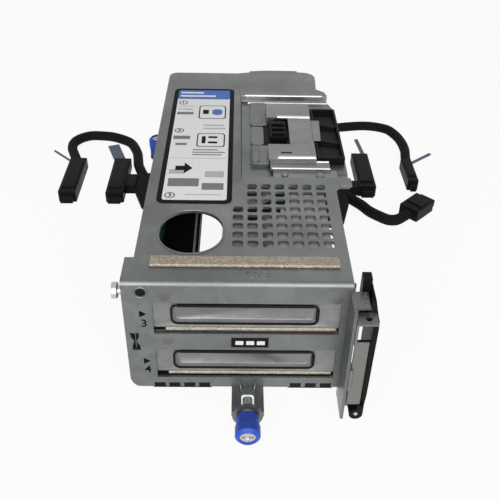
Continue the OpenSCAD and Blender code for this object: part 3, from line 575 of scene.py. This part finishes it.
piece(solid_of("slot_badge"), "badge_plate", label_black, stands_for=["slot_badge"],
      edge=0.00005)
bm = bmesh.new()
for x0, x1 in ((-0.4, 2.2), (3.1, 5.7), (6.6, 9.2)):
    slab(bm, (x0, -0.23, 27.9), (x1, -0.18, 29.6))
piece(bm, "badge_bars", label_pale, edge=0)

# ---- Touch strip ------------------------------------------------------------
# Blue moulded lip clipped over the bowed rear edge, that marks where to hold it.

def moulded(name, dark, light, rough=0.42, grain=2200, shine=0.35):
    """Moulded plastic with a fine grain from the tool."""
    mat, tree, surface = nodes_of(name)
    cloud = noise_of(tree, 120, 3)
    tinted(tree, surface, dark, light, cloud)
    tree.links.new(ramp(tree, cloud, rough * 0.9, rough * 1.15), surface.inputs["Roughness"])
    surface.inputs["Specular IOR Level"].default_value = shine
    bumped(tree, surface, noise_of(tree, grain, 2), 0.00002, 0.7)
    return mat


blue_plastic = moulded("blue_plastic", (0.018, 0.055, 0.34), (0.026, 0.075, 0.42))
pale_blue = moulded("faded_blue", (0.13, 0.17, 0.33), (0.17, 0.21, 0.38))
piece(solid_of("touch_strip"), "touch_strip_lip", pale_blue, stands_for=["touch_strip"],
      edge=0.0003)

# ---- Riser board ------------------------------------------------------------
# Green laminate on four standoffs beside the left wall, with its chips and the two
# long card connectors that face into the slots.

laminate = moulded("board_laminate", (0.006, 0.035, 0.016), (0.012, 0.06, 0.028), 0.35, 700)
black_plastic = moulded("black_plastic", (0.004, 0.004, 0.0045), (0.008, 0.008, 0.009), shine=0.07)
bright_steel = coated_sheet("bright_steel", (0.42, 0.42, 0.42), (0.66, 0.66, 0.66), rough=0.28, metal=1.0)
gold, tree, surface = nodes_of("contact_gold")
tinted(tree, surface, (0.55, 0.36, 0.12), (0.75, 0.52, 0.2), noise_of(tree, 900))
surface.inputs["Metallic"].default_value = 1.0
surface.inputs["Roughness"].default_value = 0.3
piece(solid_of("riser_board"), "board_sheet", laminate, stands_for=["riser_board"])
for row in ("upper", "lower"):
    piece(solid_of("card_connector_" + row), "connector_body_" + row, black_plastic,
          stands_for=["card_connector_" + row], edge=0.00005)
    low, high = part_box("card_connector_" + row)
    middle, x_face = (low[2] + high[2]) / 2, high[0]
    bm = bmesh.new()
    for k in range(36):
        y = low[1] + 0.017 + k * 0.002
        for side in (-1, 1):
            made = bmesh.ops.create_cube(bm, size=1)["verts"]
            bmesh.ops.scale(bm, vec=(0.006, 0.0007, 0.0003), verts=made)
            bmesh.ops.translate(bm, vec=(x_face - 0.0036, y, middle + side * 0.00078), verts=made)
    piece(bm, "connector_contacts_" + row, gold, edge=0)
bm = bmesh.new()
for y, z, half_y, half_z in ((22, 25, 4, 3), (40, 25, 2.5, 2), (60, 25, 5, 4), (80, 26, 2, 1.5),
                             (104, 40, 4, 4)):
    slab(bm, (-27.05, y - half_y, z - half_z), (-25.9, y + half_y, z + half_z))
piece(bm, "board_chips", black_plastic)
for node, name in (("board_standoffs", "standoff_tubes"), ("board_screws", "board_screw_heads")):
    piece(solid_of(node), name, bright_steel, stands_for=[node], edge=0.0001)
piece(solid_of("cable_header"), "header_socket", black_plastic, stands_for=["cable_header"],
      edge=0.0004)

# ---- Thumbscrews ------------------------------------------------------------
# A captive steel screw in a pressed collar, with a blue moulded knob on it: one in
# the front tab and one in the left wall's tab. Knob and screw turn together.

for where in ("front", "side"):
    body = where + "_thumbscrew"
    piece(solid_of(where + "_collar"), where + "_collar_ring", bright_steel,
          stands_for=[where + "_collar"], edge=0.0001)
    piece(solid_of(where + "_screw"), where + "_screw_steel", bright_steel, body=body,
          stands_for=[where + "_screw"], edge=0.0001)
    piece(solid_of(where + "_knob"), where + "_knob_grip", blue_plastic, body=body,
          stands_for=[where + "_knob"], edge=0.0003, turn=25)
piece(solid_of("shoulder_screw"), "guide_screw", bright_steel, stands_for=["shoulder_screw"],
      edge=0.0002)

# ---- Slot latch -------------------------------------------------------------
# Black moulded lever on a steel pin beside the slots, with a steel strip clipped on
# its front edge. It swings out to free the cards' brackets.

strip_steel = coated_sheet("strip_steel", (0.13, 0.13, 0.122), (0.19, 0.19, 0.178), rough=0.55, metal=0.5,
                           crystal=900)
piece(solid_of("latch_lever"), "lever_moulding", black_plastic, body="slot_latch",
      stands_for=["latch_lever"], edge=0.0004, rounds=3)
bm = bmesh.new()
slab(bm, (36.5, -9.8, 10), (41.1, -8.95, 38.6), 0.35)
piece(bm, "lever_strip", strip_steel, body="slot_latch", stands_for=["latch_strip"],
      edge=0.0005, rounds=3)
piece(solid_of("latch_pin"), "lever_pin", bright_steel, stands_for=["latch_pin"], edge=0.0002)
for n, y in enumerate((-1.8, -6)):
    bead("ear_dimple_%d" % n, [(px, py, 51.32) for px, py in loop_line(39.4, y, 0.55)], 0.16, galvanised,
         closed=True)

# ---- Card-end retainer ------------------------------------------------------
# A raised bracket of folded sheet riveted on the tray. It holds a ribbed block for
# the card's far corner and a small slider that locks it.

for node, name, mat, slot, body, edge in (
        ("retainer_frame", "retainer_bracket", plated, "plated_steel", "cage", 0.0002),
        ("retainer_block", "retainer_pad", black_plastic, "black_plastic", "cage", 0.0004)):
    piece(solid_of(node), name, mat, body=body, stands_for=[node], edge=edge)
bm = bmesh.new()
for x, radius in ((17.8, 1.35), (31.3, 1.75)):
    rod(bm, (x, 67.1, 50.8), (x, 67.1, 52.1), radius)
    rod(bm, (x, 67.1, 52.1), (x, 67.1, 52.6), radius, radius * 0.6)
piece(bm, "rivet_heads", plated, stands_for=["retainer_rivets"], edge=0.0002)
bm = bmesh.new()
slab(bm, (12.9, 94.2, 51.4), (19.9, 108.9, 53.6), 0.8)
for y in (96, 100, 104):
    slab(bm, (13.8, y, 53.4), (19.2, y + 1.5, 54.6), 0.3)
piece(bm, "slider_pad", black_plastic, body="retainer_slider",
      stands_for=["retainer_slider"], edge=0.0003)
bm = bmesh.new()
slab(bm, (10.2, 86.2, 50.8), (20.7, 110.4, 51.3), 0.5)
piece(bm, "slider_track", black_plastic, edge=0.0002)
# Beads along the bracket's hems and rails and along the tray's folds, in a bright steel: their light colour
# is a painted highlight on the bends.
fold_highlight_steel = coated_sheet("painted_fold_highlight", (0.55, 0.55, 0.54), (0.80, 0.80, 0.79), rough=0.3, metal=0.9)
for name, y, z, radius, x0, x1 in (
        ("rear_hem", 110.6, 54.35, 0.75, 16.4, 30.2), ("front_hem", 76.1, 54.3, 0.75, 15.6, 30.2),
        ("rail_rear_fold", 75.6, 52.85, 0.4, 13, 35.4), ("rail_front_fold", 70.5, 52.75, 0.4, 13, 35.4)):
    bead(name, [(x0, y, z), (x1, y, z)], radius, fold_highlight_steel)
for name, points in (("tray_rear_fold", [(2.6, 132.9, 53.7), (37.6, 132.9, 53.7)]),
                     ("tray_foot_fold", [(4, 131.2, 50.95), (40, 131.2, 50.95)])):
    bead(name, points, 0.5, fold_highlight_steel)
for n, (x, y) in enumerate(((23.3, 107.1), (27.8, 107.2), (23.4, 88.3), (27.7, 88.4))):
    bead("bridge_dimple_%d" % n, [(px, py, 54.38) for px, py in loop_line(x, y, 1.0, 0.6)], 0.14, plated,
         closed=True)
bm = bmesh.new()
prism(bm, [(30.3, 89.9, 54), (33.4, 90, 54), (34.1, 107.2, 54), (30.5, 107.1, 54)], (0, 0, 0.8))
piece(bm, "finger_tab", plated, edge=0.0003)


# ---- Cable bundles ----------------------------------------------------------
# Flat bundles in a black woven sleeve run from the header under the board's rear
# end, left past the wall and right under the tray.

def woven(name, dark, light, pitch=1500):
    """Woven sleeve: two sets of slanting threads over and under each other."""
    mat, tree, surface = nodes_of(name)
    first = noise_of(tree, (pitch, pitch * 0.35, pitch * 0.8), 2)
    second = noise_of(tree, (pitch * 0.35, pitch, pitch * 0.8), 2)
    weave = product(tree, ramp(tree, first, 0.3, 1.0), ramp(tree, second, 0.3, 1.0))
    tinted(tree, surface, dark, light, weave)
    surface.inputs["Roughness"].default_value = 0.72
    surface.inputs["Specular IOR Level"].default_value = 0.1
    bumped(tree, surface, weave, 0.00012)
    return mat


sleeve = woven("woven_sleeve", (0.004, 0.004, 0.005), (0.014, 0.014, 0.016))
piece(solid_of("left_cable_boot"), "left_bundle", sleeve, stands_for=["left_cable_boot"],
      edge=0.0014, rounds=4)
bm = bmesh.new()
prism(bm, [(-19, 117.6, 0), (-3, 117.6, 0), (1, 98, 0), (26, 97, 0), (38, 103, 0), (49.8, 106, 0),
           (54, 122, 0), (54, 137, 0), (-19, 137, 0)], (0, 0, 5))
piece(bm, "right_bundle", sleeve, stands_for=["right_cable_boot"], edge=0.0014, rounds=4)

# ---- Plugs ------------------------------------------------------------------
# Moulded black plugs on the cables' far ends, each with a pull tab of blue film.

tab_film = moulded("tab_film", (0.03, 0.055, 0.11), (0.09, 0.13, 0.21), 0.3, 500)
for node in ("left_far", "left_near", "right_far", "right_near", "right_low"):
    piece(solid_of(node + "_plug"), node + "_plug_body", black_plastic,
          stands_for=[node + "_plug"], edge=0.0008, rounds=4)
for node in ("left_far", "left_near", "right_far", "right_near"):
    piece(solid_of(node + "_tab"), node + "_pull_tab", tab_film, stands_for=[node + "_tab"],
          edge=0.00015)


# ---- Cables -----------------------------------------------------------------
# Three sleeved cables lie on the table between the bundles and the plugs.

def smooth_route(points, steps=6):
    """A soft line through the route's points."""
    ends = [points[0]] + points + [points[-1]]
    line = []
    for a, b, c, d in zip(ends, ends[1:], ends[2:], ends[3:]):
        for k in range(steps):
            t = k / steps
            line.append(0.5 * (2 * b + (c - a) * t + (2 * a - 5 * b + 4 * c - d) * t * t
                               + (3 * b - a - 3 * c + d) * t ** 3))
    return line + [points[-1]]


cable_half = 2.6
for name, plug, route in (
        ("left_cable", ["left_far_plug_body", "left_far_pull_tab"],
         [(-48, 145), (-50, 150), (-52, 156), (-53, 162), (-54, 168), (-56, 174), (-59, 180), (-64, 184),
          (-70, 187), (-76, 188), (-82, 188), (-87, 185), (-90, 180), (-90, 174), (-88, 168), (-86, 163),
          (-84, 157)]),
        ("rear_cable", ["right_far_plug_body", "right_far_pull_tab"],
         [(20, 136), (20, 143), (21, 150), (22, 157), (24, 164), (27, 171), (31, 178), (36, 185), (42, 191),
          (49, 197), (56, 201), (64, 203), (72, 204), (79, 203), (85, 200), (88, 195), (90, 189), (91, 182),
          (91, 175), (90, 168), (89, 160)]),
        ("right_cable", ["right_low_plug_body"],
         [(53, 130), (56, 126), (60, 121), (63, 116), (67, 112), (71, 109), (75, 109), (79, 112),
          (82, 115)])):
    points = smooth_route([at(x, y, cable_half) for x, y in route])
    curve = bpy.data.curves.new(name + "_sleeve", "CURVE")
    curve.dimensions = "3D"
    curve.bevel_depth, curve.bevel_resolution, curve.use_fill_caps = cable_half / 1000, 5, True
    line = curve.splines.new("POLY")
    line.points.add(len(points) - 1)
    for spot, p in zip(line.points, points):
        spot.co = (*p, 1)
    line.use_smooth = True
    cord = bpy.data.objects.new(name + "_sleeve", curve)
    put(cord, sleeve, "cage", [name])

bpy.context.view_layer.update()
